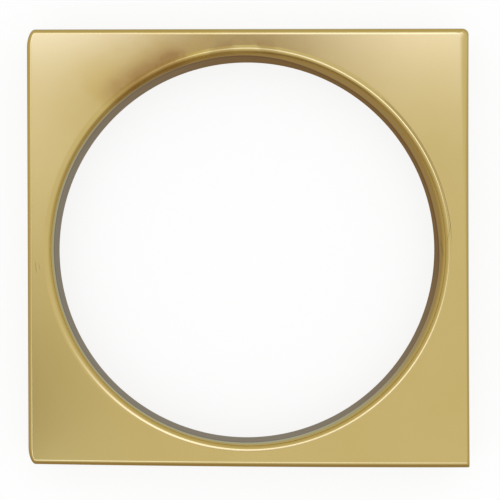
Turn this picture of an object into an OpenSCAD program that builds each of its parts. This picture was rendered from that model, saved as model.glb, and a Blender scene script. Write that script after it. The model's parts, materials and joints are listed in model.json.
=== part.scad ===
// Square escutcheon: a solid brass plate that lies on its flat back, with a
// large round hole through it. The front edges and the lip of the hole are
// rounded by polishing, and the four upright corners are worn unevenly.
// Millimetres. +Z points out of the face, +Y to the plate's top edge, and the
// origin is the middle of the back.

/* [Plate] */
// Thickness, from the back to the face
plate_t = 6.35; // [3:0.05:12]
// Metal between the hole's wall and the left and right edges, at its narrowest
rim_w = 3.85; // [2.3:0.05:30]
// Metal between the hole's wall and the top and bottom edges, at its narrowest
rim_h = 3.6; // [2.3:0.05:30]

/* [Bore] */
// Diameter of the hole's straight wall
bore_d = 55.8; // [20:0.1:120]
// Radius of the rounded lip between the face and the wall
lip_r = 1.2; // [0.2:0.1:2.4]

/* [Edges] */
// Radius of the rounded front edges
edge_r = 1; // [0.2:0.1:2.2]
// Width of the small bevel that breaks the outer and the inner back edge
back_bevel = 0.2; // [0.05:0.05:0.6]

/* [Corners] */
// Radius of the upright corner at the top left, seen from the front
corner_tl_r = 1.6; // [0.1:0.1:5]
// Radius of the upright corner at the top right
corner_tr_r = 0.9; // [0.1:0.1:5]
// Radius of the upright corner at the bottom left
corner_bl_r = 1.3; // [0.1:0.1:5]
// Radius of the upright corner at the bottom right, nearly sharp
corner_br_r = 0.2; // [0.1:0.1:5]

/* [Hidden] */
$fn = 96;
// The cutting shapes run this far past the surfaces that they cut
overrun = 1;
bore_r = bore_d / 2;
plate_w = bore_d + 2 * rim_w;
plate_h = bore_d + 2 * rim_h;
shoulder_z = plate_t - edge_r;
// Each corner: side across, side up, radius
corners = [
    [-1, 1, corner_tl_r],
    [1, 1, corner_tr_r],
    [-1, -1, corner_bl_r],
    [1, -1, corner_br_r],
];

// Section across a plate of the given width: flat back with two bevels,
// straight sides, and a quarter round at each front edge
module edge_section(width) {
    half = width / 2;
    polygon([
        [-half + back_bevel, 0],
        [half - back_bevel, 0],
        [half, back_bevel],
        [half, shoulder_z],
        [-half, shoulder_z],
        [-half, back_bevel],
    ]);
    translate([-half + edge_r, back_bevel])
        square([width - 2 * edge_r, plate_t - back_bevel]);
    for (side = [-1, 1])
        translate([side * (half - edge_r), shoulder_z])
            circle(r = edge_r);
}

// The plate with mitred front edges and sharp upright corners
module mitred_plate() {
    intersection() {
        rotate([90, 0, 0])
            linear_extrude(height = plate_h + 2 * overrun, center = true)
                edge_section(plate_w);
        rotate([90, 0, 90])
            linear_extrude(height = plate_w + 2 * overrun, center = true)
                edge_section(plate_h);
    }
}

// The same edge section turned about an upright axis at the corner's centre
module corner_post(radius) {
    rotate_extrude()
        intersection() {
            translate([radius - plate_w / 2, 0])
                edge_section(plate_w);
            square([radius, plate_t]);
        }
}

// What the polishing takes off one upright corner
module corner_waste(across, up, radius) {
    translate([across * (plate_w / 2 - radius), up * (plate_h / 2 - radius), 0])
        difference() {
            mirror([across < 0 ? 1 : 0, 0, 0])
                mirror([0, up < 0 ? 1 : 0, 0])
                    translate([0, 0, -overrun])
                        cube([radius + overrun, radius + overrun, plate_t + 2 * overrun]);
            corner_post(radius);
        }
}

// The hole: straight wall, rounded lip at the face, small bevel at the back
module bore_waste() {
    rotate_extrude() {
        translate([0, -overrun])
            square([bore_r, plate_t + 2 * overrun]);
        translate([bore_r, plate_t - lip_r])
            difference() {
                square([lip_r, lip_r + overrun]);
                translate([lip_r, 0])
                    circle(r = lip_r);
            }
        polygon([
            [bore_r, back_bevel],
            [bore_r, -overrun],
            [bore_r + back_bevel + overrun, -overrun],
        ]);
    }
}

module escutcheon_plate() {
    color([0.78, 0.66, 0.4])
        difference() {
            mitred_plate();
            for (corner = corners)
                corner_waste(corner[0], corner[1], corner[2]);
            bore_waste();
        }
}

escutcheon_plate();
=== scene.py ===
"""Square escutcheon: a hand-polished brass plate with a large round hole, lying on a pale table.

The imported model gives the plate's box and its hole. The plate is drawn as one closed surface
around the hole, with the uneven rounding that polishing left on its edges and corners.
"""

import json
import math
from typing import NamedTuple

import bpy
import numpy as np
from bpy.props import FloatProperty, FloatVectorProperty, IntProperty, PointerProperty
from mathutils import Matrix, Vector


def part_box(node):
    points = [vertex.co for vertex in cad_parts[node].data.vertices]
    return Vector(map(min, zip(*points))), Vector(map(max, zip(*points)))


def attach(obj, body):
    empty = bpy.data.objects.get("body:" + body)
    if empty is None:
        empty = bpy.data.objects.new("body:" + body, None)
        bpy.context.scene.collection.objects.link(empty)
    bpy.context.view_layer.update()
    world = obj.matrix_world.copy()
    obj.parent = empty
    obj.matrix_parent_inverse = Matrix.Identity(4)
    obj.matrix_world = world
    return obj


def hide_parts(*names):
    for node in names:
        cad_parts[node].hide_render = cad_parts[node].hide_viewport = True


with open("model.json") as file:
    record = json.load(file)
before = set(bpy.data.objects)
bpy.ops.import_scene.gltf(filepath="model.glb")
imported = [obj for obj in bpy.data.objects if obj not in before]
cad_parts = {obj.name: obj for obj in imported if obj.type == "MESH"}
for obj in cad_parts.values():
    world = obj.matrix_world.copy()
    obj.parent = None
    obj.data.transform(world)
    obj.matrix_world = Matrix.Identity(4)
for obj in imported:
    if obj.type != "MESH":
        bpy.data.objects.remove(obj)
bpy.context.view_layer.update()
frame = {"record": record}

bl_info = {
    "name": "Square Escutcheon",
    "version": (1, 0, 0),
    "blender": (4, 5, 0),
    "location": "View3D > Sidebar > Escutcheon",
    "description": "Builds a polished brass square escutcheon and the pale table it lies on",
    "category": "Add Mesh",
}

MM = 0.001
PLATE_NODE = "escutcheon_plate"
PLATE_LOW, PLATE_HIGH = (np.array(corner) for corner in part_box(PLATE_NODE))
BORE = next(mount for mount in frame["record"]["mounts"] if mount["name"] == "bore")
BACK_BEVEL = 0.2 * MM
# The four corners in turn, counter-clockwise seen from the front
BOTTOM_RIGHT, TOP_RIGHT, TOP_LEFT, BOTTOM_LEFT = range(4)




class Glow(NamedTuple):
    """A soft oval on the dome of light: its place and reach as slopes, and its colour."""

    across: float
    up: float
    width: float
    height: float
    colour: tuple


class Strip(NamedTuple):
    """A soft arc on the dome: its direction, half its length in degrees, its lean from
    straight up and its reach as slopes, and its colour."""

    azimuth: float
    half_turn: float
    lean: float
    width: float
    colour: tuple


BRASS_PALE = (0.92, 0.76, 0.43)
BRASS_DEEP = (0.87, 0.71, 0.37)
BRASS_VEIL = (0.82, 0.62, 0.24)
# Brown patch by the rim, also used for painted dark reflection along the top of the rim
BRASS_PATCH_AND_REFLECTION = (0.52, 0.33, 0.13)
# Scratch colour, also used for a painted dark reflection in a thin arc beside the lip
BRASS_SCRATCH_AND_REFLECTION = (0.30, 0.20, 0.08)
# Wall colours: unpolished brass, darkened further as painted shade inside the hole
WALL_PALE_AND_SHADE = (0.55, 0.40, 0.22)
WALL_DARK_AND_SHADE = (0.45, 0.28, 0.14)
WALL_LINE = (0.28, 0.14, 0.08)
SKY_MIDDLE = (0.62, 0.58, 0.40)
SKY_LOW_NEAR = (0.30, 0.23, 0.11)
SKY_LOW_FAR = (0.48, 0.42, 0.22)
BELOW_NEAR = (0.32, 0.24, 0.12)
BELOW_FAR = (0.40, 0.46, 0.47)
TABLE_LIGHT = (1.05, 1.05, 1.05)
BACKDROP = (0.93, 0.93, 0.93)
GLOWS = (
    Glow(-0.22, 0.20, 0.06, 0.15, (0.79, 0.76, 0.68)),
    Glow(-0.17, 0.30, 0.23, 0.06, (1.38, 1.48, 2.00)),
    Glow(0.20, 0.38, 0.19, 0.14, (1.42, 1.48, 1.85)),
    Glow(0.015, 0.235, 0.11, 0.07, (0.30, 0.22, 0.09)),
    Glow(-0.30, -0.17, 0.12, 0.15, (0.26, 0.22, 0.12)),
    Glow(-0.19, -0.22, 0.05, 0.05, (0.64, 0.64, 0.47)),
)
STRIPS = (
    Strip(108, 66, 0.70, 0.12, (1.7, 1.8, 2.1)),
    Strip(-132, 40, 0.60, 0.10, (1.6, 1.7, 2.0)),
    Strip(-92, 40, 0.58, 0.11, (1.2, 1.3, 1.5)),
)


class PlateSizes(bpy.types.PropertyGroup):
    """Sizes of the plate's surface. The corners are taken in the order bottom right, top
    right, top left, bottom left, and the sides in the order right, top, left, bottom. A side
    has a start, a middle and an end, counter-clockwise seen from the front."""

    bore_radius: FloatProperty(
        name="Bore Radius",
        description="Radius of the hole's straight wall",
        default=BORE["dims"]["r_mm"] * MM,
        unit="LENGTH",
    )
    bore_offset: FloatVectorProperty(
        name="Bore Offset",
        description="How far the hole stands off the plate's middle",
        default=(-0.10 * MM, -0.10 * MM),
        size=2,
        unit="LENGTH",
    )
    wall_length: FloatProperty(
        name="Wall Length",
        description="Height of the hole's straight wall, from the back bevel to the lip",
        default=BORE["dims"]["length_mm"] * MM,
        unit="LENGTH",
    )
    lip_drops: FloatVectorProperty(
        name="Lip Drops",
        description="How deep the lip's rounding reaches, in eight directions from the right",
        default=[depth * MM for depth in (2.0, 1.0, 1.1, 1.2, 1.2, 1.0, 1.4, 2.0)],
        size=8,
        unit="LENGTH",
    )
    back_bevel: FloatProperty(
        name="Back Bevel",
        description="Width of the small bevel along the back edges",
        default=BACK_BEVEL,
        unit="LENGTH",
    )
    edge_widths: FloatVectorProperty(
        name="Edge Widths",
        description="Width of the front edge's rounding at three places of each side",
        default=[
            width * MM
            for width in (0.68, 0.80, 1.60, 1.00, 1.00, 0.90, 0.82, 0.82, 0.80, 0.85, 0.95, 0.95)
        ],
        size=12,
        unit="LENGTH",
    )
    edge_drops: FloatVectorProperty(
        name="Edge Drops",
        description="How deep the front edge's rounding reaches at three places of each side",
        default=[
            depth * MM
            for depth in (0.90, 0.80, 0.35, 0.90, 1.00, 1.00, 1.00, 1.00, 1.00, 1.00, 1.00, 1.00)
        ],
        size=12,
        unit="LENGTH",
    )
    bows: FloatVectorProperty(
        name="Bows",
        description="How far the middle of each side bows outwards",
        default=[depth * MM for depth in (-0.03, 0.02, 0.0, 0.14)],
        size=4,
        unit="LENGTH",
    )
    corner_reach: FloatVectorProperty(
        name="Corner Reach",
        description="How far each upright corner's rounding reaches, across and then up",
        default=[
            reach * MM for reach in (0.20, 0.20, 0.90, 0.90, 1.20, 2.60, 1.10, 2.60)
        ],
        size=8,
        unit="LENGTH",
    )
    corner_wear: FloatVectorProperty(
        name="Corner Wear",
        description="How far each corner is ground in from the box, across and then up",
        default=[depth * MM for depth in (0.0, 0.03, 0.25, 0.0, 0.0, 0.12, 0.22, 0.52)],
        size=8,
        unit="LENGTH",
    )
    mitre_radius: FloatProperty(
        name="Mitre Radius",
        description="How soft the ridge is where two rounded edges meet at a sharp corner",
        default=0.12 * MM,
        unit="LENGTH",
    )
    corner_steps: IntProperty(
        name="Corner Steps", description="Faces around each upright corner", default=16, min=4
    )
    side_steps: IntProperty(
        name="Side Steps", description="Faces along each side", default=96, min=8
    )
    round_steps: IntProperty(
        name="Round Steps", description="Faces across each rounded edge", default=20, min=4
    )
    wall_steps: IntProperty(
        name="Wall Steps", description="Faces up the hole's straight wall", default=11, min=2
    )


class StageSizes(bpy.types.PropertyGroup):
    """Where the camera stands, how the picture is framed, and how strong the lights are."""

    image_px: IntProperty(
        name="Image Width", description="Width and height of the picture in pixels", default=500
    )
    px_per_mm: FloatProperty(
        name="Pixels per Millimetre",
        description="Scale of the picture at the plate's face",
        default=7.012,
    )
    frame_px: FloatVectorProperty(
        name="Plate's Middle in the Picture",
        description="Pixel at which the middle of the plate's face shows",
        default=(248.3, 248.0),
        size=2,
    )
    camera_foot: FloatVectorProperty(
        name="Camera Foot",
        description="Point of the table straight below the camera",
        default=(-2.4 * MM, -4.1 * MM),
        size=2,
        unit="LENGTH",
    )
    camera_height: FloatProperty(
        name="Camera Height",
        description="Height of the camera above the plate's face",
        default=138 * MM,
        unit="LENGTH",
    )
    table_size: FloatProperty(
        name="Table Size", description="Width of the pale table", default=6.0, unit="LENGTH"
    )
    table_colour: FloatVectorProperty(
        name="Table Colour",
        description="Colour of the pale table",
        default=(0.18, 0.18, 0.18),
        subtype="COLOR",
    )
    table_glow: FloatProperty(
        name="Table Glow",
        description="How bright the table shines by itself",
        default=0.81,
    )


class Value:
    """A number socket in a material, usable in arithmetic: each operator adds a Math node."""

    def __init__(self, shop, socket):
        self.shop = shop
        self.socket = socket

    def __add__(self, other):
        return self.shop.math("ADD", self, other)

    __radd__ = __add__

    def __sub__(self, other):
        return self.shop.math("SUBTRACT", self, other)

    def __rsub__(self, other):
        return self.shop.math("SUBTRACT", other, self)

    def __mul__(self, other):
        return self.shop.math("MULTIPLY", self, other)

    __rmul__ = __mul__

    def __truediv__(self, other):
        return self.shop.math("DIVIDE", self, other)

    def __pow__(self, other):
        return self.shop.math("POWER", self, other)


class Shop:
    """Makes the nodes of one node tree."""

    def __init__(self, tree):
        self.tree = tree
        tree.nodes.clear()

    def node(self, kind, settings=None, inputs=None):
        """One node of a type: its settings first, then the values or links of its sockets."""
        made = self.tree.nodes.new(kind)
        for name, setting in (settings or {}).items():
            setattr(made, name, setting)
        for name, value in (inputs or {}).items():
            if isinstance(value, Value):
                value = value.socket
            if isinstance(value, bpy.types.NodeSocket):
                self.tree.links.new(value, made.inputs[name])
            else:
                made.inputs[name].default_value = value
        return made

    def math(self, operation, *values):
        made = self.node("ShaderNodeMath", {"operation": operation}, dict(enumerate(values)))
        return Value(self, made.outputs[0])

    def between(self, value, low, high):
        """0 below low, 1 above high and a smooth rise between, or a fall if low is the larger."""
        made = self.node(
            "ShaderNodeMapRange",
            {"interpolation_type": "SMOOTHSTEP"},
            {"Value": value, "From Min": low, "From Max": high},
        )
        return Value(self, made.outputs["Result"])

    def blend(self, factor, start, end):
        """Mixes two colours. The Mix node's colour sockets share their names with its number
        sockets, so they are reached by their order."""
        made = self.node("ShaderNodeMix", {"data_type": "RGBA"}, {0: factor, 6: start, 7: end})
        return made.outputs[2]

    def turned(self, position, degrees, stretch):
        """The position turned about the upright axis and stretched along the turned axes."""
        made = self.node(
            "ShaderNodeMapping",
            {"vector_type": "TEXTURE"},
            {"Vector": position, "Rotation": (0, 0, math.radians(degrees))},
        )
        spread = self.node(
            "ShaderNodeVectorMath",
            {"operation": "MULTIPLY"},
            {0: made.outputs["Vector"], 1: stretch},
        )
        return spread.outputs["Vector"]

    def noise(self, position, scale, detail):
        """Cloudy noise from 0 to 1, mostly near a half."""
        made = self.node(
            "ShaderNodeTexNoise",
            {"noise_dimensions": "3D"},
            {"Vector": position, "Scale": scale, "Detail": detail},
        )
        return Value(self, made.outputs["Fac"])

    def scratch(self, x, y, start, end, width):
        """A thin straight mark from start to end that tapers off at both."""
        length = math.dist(start, end)
        along_x = (end[0] - start[0]) / length
        along_y = (end[1] - start[1]) / length
        off_x = x - (start[0] + end[0]) / 2
        off_y = y - (start[1] + end[1]) / 2
        along = (off_x * along_x + off_y * along_y) / (length / 2)
        aside = (off_x * along_y - off_y * along_x) / width
        return self.math("EXPONENT", 0 - aside * aside - (along * along) ** 2)

    def surface(self, colour, roughness, normal):
        """Metal with this colour, roughness and normal."""
        shader = self.node(
            "ShaderNodeBsdfPrincipled",
            inputs={
                "Base Color": colour,
                "Metallic": 1.0,
                "Roughness": roughness,
                "Normal": normal,
            },
        )
        self.node("ShaderNodeOutputMaterial", inputs={"Surface": shader.outputs[0]})


def along_outline(sizes, values):
    """Spreads twelve values, three to a side, over the points of the line around the plate.

    Along a side the value is the parabola through its three values, and around a corner it
    runs evenly from the end of one side to the start of the next."""
    start, middle, end = np.array(values).reshape(4, 3).T
    turn = np.linspace(0, 1, sizes.corner_steps + 1)
    before = np.roll(end, 1)
    corner = before[:, None] + (start - before)[:, None] * turn
    part = np.linspace(0, 1, sizes.side_steps + 1)[1:-1]
    swell = (middle - (start + end) / 2)[:, None] * (4 * part * (1 - part))
    side = start[:, None] + (end - start)[:, None] * part + swell
    return np.concatenate([corner, side], axis=1).ravel()


def plate_line(sizes, widths):
    """Closed line around the plate: four rounded corners joined by four sides.

    Each side is pushed inwards by its three widths, taken along it as a parabola. A corner is
    a quarter ellipse. Its two radii are what is left of its outer reach after the push, and
    never quite nothing, so that a sharp corner keeps a soft mitre. Returns points, x and y."""
    start, middle, end = np.array(widths).reshape(4, 3).T
    before_end = np.roll(end, 1)
    facing = np.radians(90.0 * np.arange(4))
    outward = np.round(np.stack([np.cos(facing), np.sin(facing)], axis=1))
    before = np.roll(outward, 1, axis=0)
    side_of = outward + before
    inset = np.abs(before) * before_end[:, None] + np.abs(outward) * start[:, None]
    wear = np.array(sizes.corner_wear).reshape(4, 2)
    box = np.where(side_of > 0, PLATE_HIGH[:2], PLATE_LOW[:2])
    apex = box - side_of * (wear + inset)
    left_over = np.array(sizes.corner_reach).reshape(4, 2) - inset
    reach = (left_over + np.sqrt(left_over**2 + 4 * sizes.mitre_radius**2)) / 2
    turn = facing[:, None] + np.radians(np.linspace(-90, 0, sizes.corner_steps + 1))
    arc = np.stack([np.cos(turn), np.sin(turn)], axis=2)
    corner = (apex - side_of * reach)[:, None] + reach[:, None] * arc
    part = np.linspace(0, 1, sizes.side_steps + 1)[1:-1]
    first = corner[:, -1:]
    last = np.roll(corner, -1, axis=0)[:, :1]
    swell = np.array(sizes.bows) - (middle - (start + end) / 2)
    push = swell[:, None] * (4 * part * (1 - part))
    side = first + (last - first) * part[None, :, None] + outward[:, None] * push[..., None]
    return np.concatenate([corner, side], axis=1).reshape(-1, 2)


def around(values, angle):
    """Smooth closed curve through values at equal steps of angle: the shortest sum of cosine
    and sine waves that meets them all."""
    count = len(values)
    waves = np.fft.rfft(np.array(values)) / count
    waves[1 : count // 2] *= 2
    order = np.arange(len(waves))
    return np.real(np.exp(1j * np.outer(angle, order)) @ waves)


def plate_surface(sizes):
    """The plate as a grid of points: around the hole one way, and along the section the other.

    The section climbs the hole's wall, turns over the lip on a quarter ellipse, crosses the
    face, rolls over the front edge on a quarter ellipse, goes down the side and returns
    across the back. Across the face and the back, a ring is a blend of the ring inside it
    and the ring outside it. Returns an array of rings, each an array of points."""
    floor = PLATE_LOW[2]
    top = PLATE_HIGH[2]
    bevel = sizes.back_bevel
    bore = sizes.bore_radius
    lip = top - floor - bevel - sizes.wall_length
    middle = np.array(sizes.bore_offset)
    widths = np.array(sizes.edge_widths)
    face_line = plate_line(sizes, widths)
    edge_drop = along_outline(sizes, sizes.edge_drops)
    outwards = face_line - middle
    angle = np.arctan2(outwards[:, 1], outwards[:, 0])
    spoke = np.stack([np.cos(angle), np.sin(angle)], axis=1)
    lip_drop = around(sizes.lip_drops, angle)

    def ring(line, height):
        return np.column_stack([line, np.broadcast_to(height, len(line))])

    def circle(radius, height):
        return ring(middle + spoke * radius, height)

    def across(inner, outer, parts):
        return [inner + (outer - inner) * part for part in parts]

    quarter = np.radians(np.linspace(0, 90, sizes.round_steps + 1))
    wall_foot = circle(bore, floor + bevel)
    wall_top = circle(bore, top - lip_drop)
    rings = across(wall_foot, wall_top, np.linspace(0, 1, sizes.wall_steps + 1))
    for turn in quarter[1:]:
        sink = lip_drop * (1 - math.sin(turn))
        rings.append(circle(bore + lip * (1 - math.cos(turn)), top - sink))
    face_parts = (0.004, 0.02, 0.06, 0.15, 0.3, 0.5, 0.7, 0.85, 0.94, 0.98, 0.996)
    rings += across(circle(bore + lip, top), ring(face_line, top), face_parts)
    for turn in quarter:
        line = plate_line(sizes, widths * (1 - math.sin(turn)))
        rings.append(ring(line, top - edge_drop * (1 - math.cos(turn))))
    side_foot = ring(plate_line(sizes, np.zeros(12)), floor + bevel)
    rings += across(rings[-1], side_foot, np.linspace(0, 1, 12)[1:])
    back_edge = ring(plate_line(sizes, np.full(12, bevel)), floor)
    back_parts = (0.0, 0.01, 0.1, 0.3, 0.5, 0.7, 0.9, 0.99, 1.0)
    rings += across(back_edge, circle(bore + bevel, floor), back_parts)
    return np.array(rings)


def closed_mesh(name, rings):
    """A mesh from a grid of points that closes on itself both ways, with faces outwards."""
    ring_count, point_count, _ = rings.shape
    ring_at, point_at = np.meshgrid(np.arange(ring_count), np.arange(point_count), indexing="ij")
    next_ring = (ring_at + 1) % ring_count
    next_point = (point_at + 1) % point_count
    corners = (
        (ring_at, point_at),
        (next_ring, point_at),
        (next_ring, next_point),
        (ring_at, next_point),
    )
    faces = np.stack([ring * point_count + point for ring, point in corners], axis=-1)
    mesh = bpy.data.meshes.new(name)
    mesh.from_pydata(rings.reshape(-1, 3), [], faces.reshape(-1, 4))
    mesh.shade_smooth()
    mesh.set_sharp_from_angle(angle=math.radians(30))
    return mesh


def plate_places(shop, sizes):
    """Places on the plate in millimetres: the position, its x, y and z, the distance from the
    hole's middle and the bearing around it in degrees, counter-clockwise from the right."""
    coords = shop.node("ShaderNodeTexCoord")
    scaled = shop.node(
        "ShaderNodeVectorMath",
        {"operation": "SCALE"},
        {"Vector": coords.outputs["Object"], "Scale": 1 / MM},
    )
    position = scaled.outputs["Vector"]
    parts = shop.node("ShaderNodeSeparateXYZ", inputs={"Vector": position})
    x, y, z = (Value(shop, parts.outputs[axis]) for axis in "XYZ")
    from_x = x - sizes.bore_offset[0] / MM
    from_y = y - sizes.bore_offset[1] / MM
    reach = (from_x * from_x + from_y * from_y) ** 0.5
    bearing = shop.math("ARCTAN2", from_y, from_x) * math.degrees(1)
    return position, x, y, z, reach, bearing


def ridge(shop, value, middle, width):
    """A soft bump: 1 where the value meets the middle, falling away on both sides."""
    away = (value - middle) / width
    return shop.math("EXPONENT", 0 - away * away)


def polished_brass(sizes):
    """The polished front: bright yellow brass with faint clouds and hairlines, a smoky brown patch over
    the top left of the hole, painted dark reflection in blotches along the top of the rim and in a thin
    arc beside the lip's highlight, and a few thin scratches."""
    material = bpy.data.materials.new("polished_brass")
    material.use_nodes = True
    shop = Shop(material.node_tree)
    position, x, y, z, reach, bearing = plate_places(shop, sizes)
    clouds = shop.noise(position, 0.11, 3.0)
    smoke = shop.noise(position, 0.30, 4.0)
    hairlines = shop.noise(shop.turned(position, 32, (0.12, 9.0, 0.12)), 1.0, 2.0)
    cross_lines = shop.noise(shop.turned(position, -61, (0.12, 7.0, 0.12)), 1.0, 2.0)

    rim = (sizes.bore_radius + 1.2 * MM) / MM
    # A smoky brown patch near the rim over the top left of the hole, plus painted dark reflection in
    # blotches along the top of the rim
    near_rim = ridge(shop, reach, rim, 1.9)
    brown_patch_and_reflection = near_rim * shop.between(bearing, 103, 114) * shop.between(bearing, 137, 128)
    reflection_spots = ridge(shop, reach, rim, 1.3) * shop.between(bearing, 70, 88)
    reflection_spots = reflection_spots * shop.between(bearing, 120, 105) * shop.between(smoke, 0.42, 0.62) * 0.5
    brown_patch_and_reflection = shop.math("MINIMUM", brown_patch_and_reflection * (0.35 + smoke * 1.1) + reflection_spots, 1.0)
    veil = ridge(shop, reach, rim + 1.0, 6.0) * shop.between(bearing, 84, 104)
    veil = veil * shop.between(bearing, 150, 134) * shop.between(clouds, 0.35, 0.62)

    inner_arc = ridge(shop, reach, 28.15, 0.06) * shop.between(bearing, 48, 52)
    inner_arc = inner_arc * shop.between(bearing, 93, 84)
    # Painted reflection: a thin dark arc just outside the lip's highlight at the upper right, also cut as
    # a shallow groove
    arc_reach = 28.86 + (48 - bearing) * 0.0062
    reflection_arc = ridge(shop, reach - arc_reach, 0, 0.055) * shop.between(bearing, 49, 46)
    reflection_arc = reflection_arc * shop.between(bearing, -1, 10)
    scratches = shop.scratch(x, y, (-30.4, -1.9), (-30.2, -3.6), 0.05)
    scratches = scratches + shop.scratch(x, y, (-29.9, -2.2), (-29.7, -3.2), 0.04)
    scratches = scratches + shop.scratch(x, y, (28.9, 3.6), (28.4, 0.9), 0.05)
    scratches = scratches + shop.scratch(x, y, (27.8, 1.0), (28.0, -1.2), 0.04)
    # Scratches, the inner arc and the painted dark reflection arc, all in the scratch colour
    marks_and_reflection = shop.math("MINIMUM", scratches * 0.5 + inner_arc * 0.6 + reflection_arc * 0.75, 1.0)

    colour = shop.blend(clouds, (*BRASS_DEEP, 1), (*BRASS_PALE, 1))
    colour = shop.blend(veil * 0.75, colour, (*BRASS_VEIL, 1))
    colour = shop.blend(brown_patch_and_reflection, colour, (*BRASS_PATCH_AND_REFLECTION, 1))
    colour = shop.blend(marks_and_reflection, colour, (*BRASS_SCRATCH_AND_REFLECTION, 1))
    roughness = 0.09 + clouds * 0.04 + hairlines * 0.03 + brown_patch_and_reflection * 0.06 + marks_and_reflection * 0.3
    height = hairlines * 0.5 + cross_lines * 0.3 - marks_and_reflection * 4.0
    bump = shop.node(
        "ShaderNodeBump", inputs={"Strength": 0.35, "Distance": 0.002 * MM, "Height": height}
    )
    shop.surface(colour, roughness, bump.outputs["Normal"])
    return material


def bored_brass_and_shade(sizes):
    """The hole's wall: browner and rougher as unpolished brass, and darker still as painted shade inside
    the hole, with fine turning lines and a dark line under the part that the polishing reached."""
    material = bpy.data.materials.new("bored_brass_and_shade")
    material.use_nodes = True
    shop = Shop(material.node_tree)
    position, x, y, z, reach, bearing = plate_places(shop, sizes)
    smoke = shop.noise(position, 0.35, 3.0)
    lines = shop.noise(shop.turned(position, 0, (0.05, 0.05, 5.0)), 1.0, 2.0)
    upper_right = shop.between(bearing, -20, 15) * shop.between(bearing, 95, 60)
    polish_foot = 5.0 - upper_right * 2.1
    polished = shop.between(z - polish_foot, -0.15, 0.25)
    dark_line = ridge(shop, z - polish_foot, -0.45, 0.35)
    # Dark brown wall colour: unpolished brass, darkened further as painted shade inside the hole
    wall = shop.blend(smoke, (*WALL_DARK_AND_SHADE, 1), (*WALL_PALE_AND_SHADE, 1))
    wall = shop.blend(dark_line * 0.7, wall, (*WALL_LINE, 1))
    wall = shop.blend(lines * 0.4, wall, (*WALL_LINE, 1))
    colour = shop.blend(polished, wall, (*BRASS_DEEP, 1))
    roughness = 0.30 + lines * 0.10 - polished * 0.16
    bump = shop.node(
        "ShaderNodeBump", inputs={"Strength": 0.4, "Distance": 0.004 * MM, "Height": lines}
    )
    shop.surface(colour, roughness, bump.outputs["Normal"])
    return material


def table_top(colour, glow):
    """A white table that glows evenly from below, so that the plate casts only a faint shadow."""
    material = bpy.data.materials.new("table_top")
    material.use_nodes = True
    shop = Shop(material.node_tree)
    shader = shop.node(
        "ShaderNodeBsdfPrincipled",
        inputs={
            "Base Color": (*colour, 1),
            "Roughness": 0.8,
            "Specular IOR Level": 0.0,
            "Emission Color": (1, 1, 1, 1),
            "Emission Strength": glow,
        },
    )
    shop.node("ShaderNodeOutputMaterial", inputs={"Surface": shader.outputs[0]})
    return material


class ESCUTCHEON_OT_plate(bpy.types.Operator):
    """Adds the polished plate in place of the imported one"""

    bl_idname = "escutcheon.plate"
    bl_label = "Add Plate"

    def execute(self, context):
        sizes = context.scene.escutcheon_plate
        rings = plate_surface(sizes)
        mesh = closed_mesh("escutcheon", rings)
        mesh.materials.append(polished_brass(sizes))
        mesh.materials.append(bored_brass_and_shade(sizes))
        slots = np.zeros(len(mesh.polygons), dtype=np.int32)
        slots[: sizes.wall_steps * rings.shape[1]] = 1
        mesh.polygons.foreach_set("material_index", slots)
        plate = bpy.data.objects.new("escutcheon", mesh)
        context.collection.objects.link(plate)
        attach(plate, "root")
        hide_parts(PLATE_NODE)
        return {"FINISHED"}


class ESCUTCHEON_OT_stage(bpy.types.Operator):
    """Adds the table, the soft lights and the camera"""

    bl_idname = "escutcheon.stage"
    bl_label = "Add Stage"

    def execute(self, context):
        sizes = context.scene.escutcheon_stage
        add_table(context, sizes)
        light_room(context)
        add_camera(context, sizes)
        return {"FINISHED"}


def add_table(context, sizes):
    half = sizes.table_size / 2
    height = PLATE_LOW[2]
    corners = [(-half, -half, height), (half, -half, height), (half, half, height), (-half, half, height)]
    mesh = bpy.data.meshes.new("table")
    mesh.from_pydata(corners, [], [(0, 1, 2, 3)])
    mesh.materials.append(table_top(sizes.table_colour, sizes.table_glow))
    table = bpy.data.objects.new("table", mesh)
    context.collection.objects.link(table)
    table.visible_glossy = False


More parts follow.
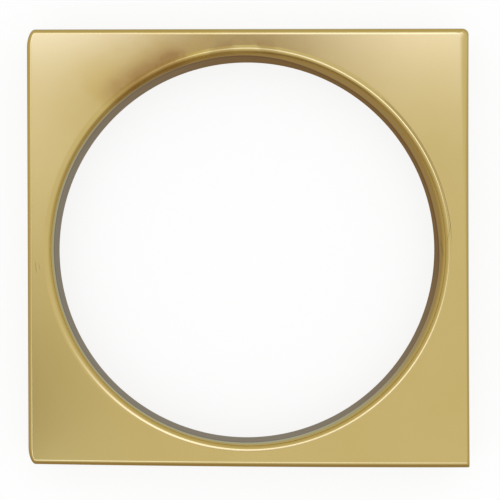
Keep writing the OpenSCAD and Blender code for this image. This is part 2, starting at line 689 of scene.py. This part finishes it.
def light_room(context):
    """A dome of soft light around the plate, as the brass mirrors it.

    A place on the dome is given by two slopes: how far it leans across and up the picture
    for each step towards the camera. The face mirrors the part of the dome near straight up,
    and the rounded edges and the lip mirror the rest. The table is lit by an even white dome."""
    world = bpy.data.worlds.new("studio")
    world.use_nodes = True
    shop = Shop(world.node_tree)
    coords = shop.node("ShaderNodeTexCoord")
    direction = shop.node("ShaderNodeSeparateXYZ", inputs={"Vector": coords.outputs["Generated"]})
    x, y, z = (Value(shop, direction.outputs[axis]) for axis in "XYZ")
    rise = shop.math("MAXIMUM", z, 0.05)
    across = x / rise
    up = y / rise
    lean = (across * across + up * up) ** 0.5
    sky = (*SKY_MIDDLE, 1)
    for glow in GLOWS:
        spread = ((across - glow.across) / glow.width) ** 2 + ((up - glow.up) / glow.height) ** 2
        sky = shop.blend(shop.math("EXPONENT", 0 - spread), sky, (*glow.colour, 1))
    flat = shop.math("MAXIMUM", (x * x + y * y) ** 0.5, 0.01)
    low_side = shop.between(y / flat, -0.9, 0.2)
    below_side = shop.between((x * 0.7 + y * 0.7) / flat, -0.8, 0.7)
    low = shop.blend(low_side, (*SKY_LOW_NEAR, 1), (*SKY_LOW_FAR, 1))
    below = shop.blend(below_side, (*BELOW_NEAR, 1), (*BELOW_FAR, 1))
    sky = shop.blend(shop.between(z, 0.80, 0.25), sky, low)
    for strip in STRIPS:
        turn = math.radians(strip.azimuth)
        facing = (across * math.cos(turn) + up * math.sin(turn)) / shop.math("MAXIMUM", lean, 0.01)
        inside = math.cos(math.radians(strip.half_turn * 0.4))
        outside = math.cos(math.radians(strip.half_turn * 1.2))
        height = ((lean - strip.lean) / strip.width) ** 2
        mask = shop.math("EXPONENT", 0 - height) * shop.between(facing, outside, inside)
        sky = shop.blend(mask, sky, (*strip.colour, 1))
    sky = shop.blend(shop.between(z, -0.2, -0.85), sky, below)
    path = shop.node("ShaderNodeLightPath")
    seen = shop.blend(path.outputs["Is Glossy Ray"], (*TABLE_LIGHT, 1), sky)
    seen = shop.blend(path.outputs["Is Camera Ray"], seen, (*BACKDROP, 1))
    background = shop.node("ShaderNodeBackground", inputs={"Color": seen})
    shop.node("ShaderNodeOutputWorld", inputs={"Surface": background.outputs[0]})
    context.scene.world = world
    context.scene.view_settings.view_transform = "Standard"


def add_camera(context, sizes):
    """Puts the camera straight above its foot, with the lens and shift that frame the plate."""
    face = PLATE_HIGH[2]
    foot = np.array(sizes.camera_foot)
    focal_px = sizes.px_per_mm * sizes.camera_height / MM
    camera = bpy.data.cameras.new("camera")
    camera.sensor_width = 36
    camera.lens = camera.sensor_width * focal_px / sizes.image_px
    camera.clip_start = 0.01
    axis_px = np.array(sizes.frame_px) + np.array([1, -1]) * foot / MM * sizes.px_per_mm
    off_centre = (sizes.image_px / 2 - axis_px) / sizes.image_px
    camera.shift_x = off_centre[0]
    camera.shift_y = -off_centre[1]
    holder = bpy.data.objects.new("camera", camera)
    holder.location = (*foot, face + sizes.camera_height)
    context.collection.objects.link(holder)
    context.scene.camera = holder


class ESCUTCHEON_PT_panel(bpy.types.Panel):
    """Lists the pieces and their sizes"""

    bl_idname = "ESCUTCHEON_PT_panel"
    bl_label = "Square Escutcheon"
    bl_space_type = "VIEW_3D"
    bl_region_type = "UI"
    bl_category = "Escutcheon"

    def draw(self, context):
        for operator, sizes in (
            (ESCUTCHEON_OT_plate, context.scene.escutcheon_plate),
            (ESCUTCHEON_OT_stage, context.scene.escutcheon_stage),
        ):
            box = self.layout.box()
            box.operator(operator.bl_idname)
            for name in sizes.__annotations__:
                box.prop(sizes, name)


CLASSES = (
    PlateSizes,
    StageSizes,
    ESCUTCHEON_OT_plate,
    ESCUTCHEON_OT_stage,
    ESCUTCHEON_PT_panel,
)


def register():
    for cls in CLASSES:
        bpy.utils.register_class(cls)
    bpy.types.Scene.escutcheon_plate = PointerProperty(type=PlateSizes)
    bpy.types.Scene.escutcheon_stage = PointerProperty(type=StageSizes)


def unregister():
    del bpy.types.Scene.escutcheon_stage
    del bpy.types.Scene.escutcheon_plate
    for cls in reversed(CLASSES):
        bpy.utils.unregister_class(cls)


def main():
    register()
    bpy.ops.escutcheon.plate()
    bpy.ops.escutcheon.stage()


if __name__ == "__main__":
    main()
